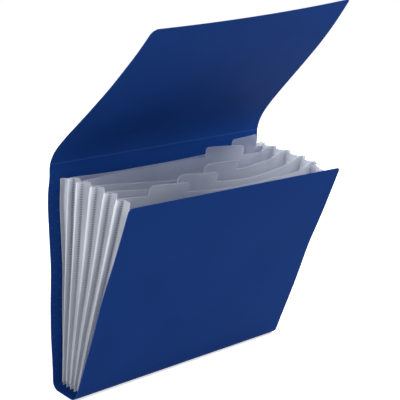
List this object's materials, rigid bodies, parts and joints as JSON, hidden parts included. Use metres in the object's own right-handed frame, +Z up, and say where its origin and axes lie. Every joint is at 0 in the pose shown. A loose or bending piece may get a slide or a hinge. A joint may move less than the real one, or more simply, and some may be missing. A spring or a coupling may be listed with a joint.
{
  "type": "accordion file folder",
  "caption": "Standing accordion file folder: creased plastic cover with an open flap round a fan of pleated, tabbed translucent pockets for loose papers.",
  "frame": {"origin": "centre of the flat underside that the folder stands on", "axes": "+Z up, X along the folder's width, -Y towards the front panel"},
  "size_m": [0.33, 0.1334, 0.4351],
  "materials": {
    "cover": "fine-grained matt polypropylene sheet, navy blue",
    "divider": "frosted translucent polypropylene sheet",
    "gusset": "thin glossy translucent film with welded edges",
    "floor": "thin translucent film strip"
  },
  "bodies": {
    "back": {"back_panel": "cover", "base_spine": "cover", "pocket_floor_6": "floor"},
    "divider_1": {"divider_1": "divider", "pocket_floor_1": "floor", "gusset_left_1": "gusset", "gusset_right_1": "gusset"},
    "divider_2": {"divider_2": "divider", "pocket_floor_2": "floor", "gusset_left_2": "gusset", "gusset_right_2": "gusset"},
    "divider_3": {"divider_3": "divider", "pocket_floor_3": "floor", "gusset_left_3": "gusset", "gusset_right_3": "gusset"},
    "divider_4": {"divider_4": "divider", "pocket_floor_4": "floor", "gusset_left_4": "gusset", "gusset_right_4": "gusset"},
    "divider_5": {"divider_5": "divider", "pocket_floor_5": "floor", "gusset_left_5": "gusset", "gusset_right_5": "gusset"},
    "front": {"front_panel": "cover", "gusset_left_6": "gusset", "gusset_right_6": "gusset"},
    "flap": {"flap": "cover"}
  },
  "joints": [
    {"name": "front_open", "type": "hinge", "parent": "back", "child": "front", "pos_m": [0, -0.02033, 0.00774], "axis": [1, 0, 0], "range_deg": [-21.6, 7], "deforming": ["gusset_left_6", "gusset_right_6"]},
    {"name": "divider_1_swing", "type": "hinge", "parent": "back", "child": "divider_1", "pos_m": [0, 0.01248, 0.005], "axis": [1, 0, 0], "range_deg": [-2.17, 0.71], "deforming": ["gusset_left_1", "gusset_right_1"]},
    {"name": "divider_2_swing", "type": "hinge", "parent": "divider_1", "child": "divider_2", "pos_m": [0, 0.00624, 0.005], "axis": [1, 0, 0], "range_deg": [-3.36, 1.09], "deforming": ["gusset_left_2", "gusset_right_2"]},
    {"name": "divider_3_swing", "type": "hinge", "parent": "divider_2", "child": "divider_3", "pos_m": [0, 0, 0.005], "axis": [1, 0, 0], "range_deg": [-3.36, 1.09], "deforming": ["gusset_left_3", "gusset_right_3"]},
    {"name": "divider_4_swing", "type": "hinge", "parent": "divider_3", "child": "divider_4", "pos_m": [0, -0.00624, 0.005], "axis": [1, 0, 0], "range_deg": [-3.36, 1.09], "deforming": ["gusset_left_4", "gusset_right_4"]},
    {"name": "divider_5_swing", "type": "hinge", "parent": "divider_4", "child": "divider_5", "pos_m": [0, -0.01248, 0.005], "axis": [1, 0, 0], "range_deg": [-3.36, 1.09], "deforming": ["gusset_left_5", "gusset_right_5"]},
    {"name": "flap_fold", "type": "hinge", "parent": "back", "child": "flap", "pos_m": [0, 0.05514, 0.25221], "axis": [1, 0, 0], "range_deg": [-165, 46]}
  ],
  "couplings": [
    {"joint": "divider_1_swing", "follows": "front_open", "ratio": 0.1},
    {"joint": "divider_2_swing", "follows": "front_open", "ratio": 0.155},
    {"joint": "divider_3_swing", "follows": "front_open", "ratio": 0.155},
    {"joint": "divider_4_swing", "follows": "front_open", "ratio": 0.155},
    {"joint": "divider_5_swing", "follows": "front_open", "ratio": 0.155}
  ]
}
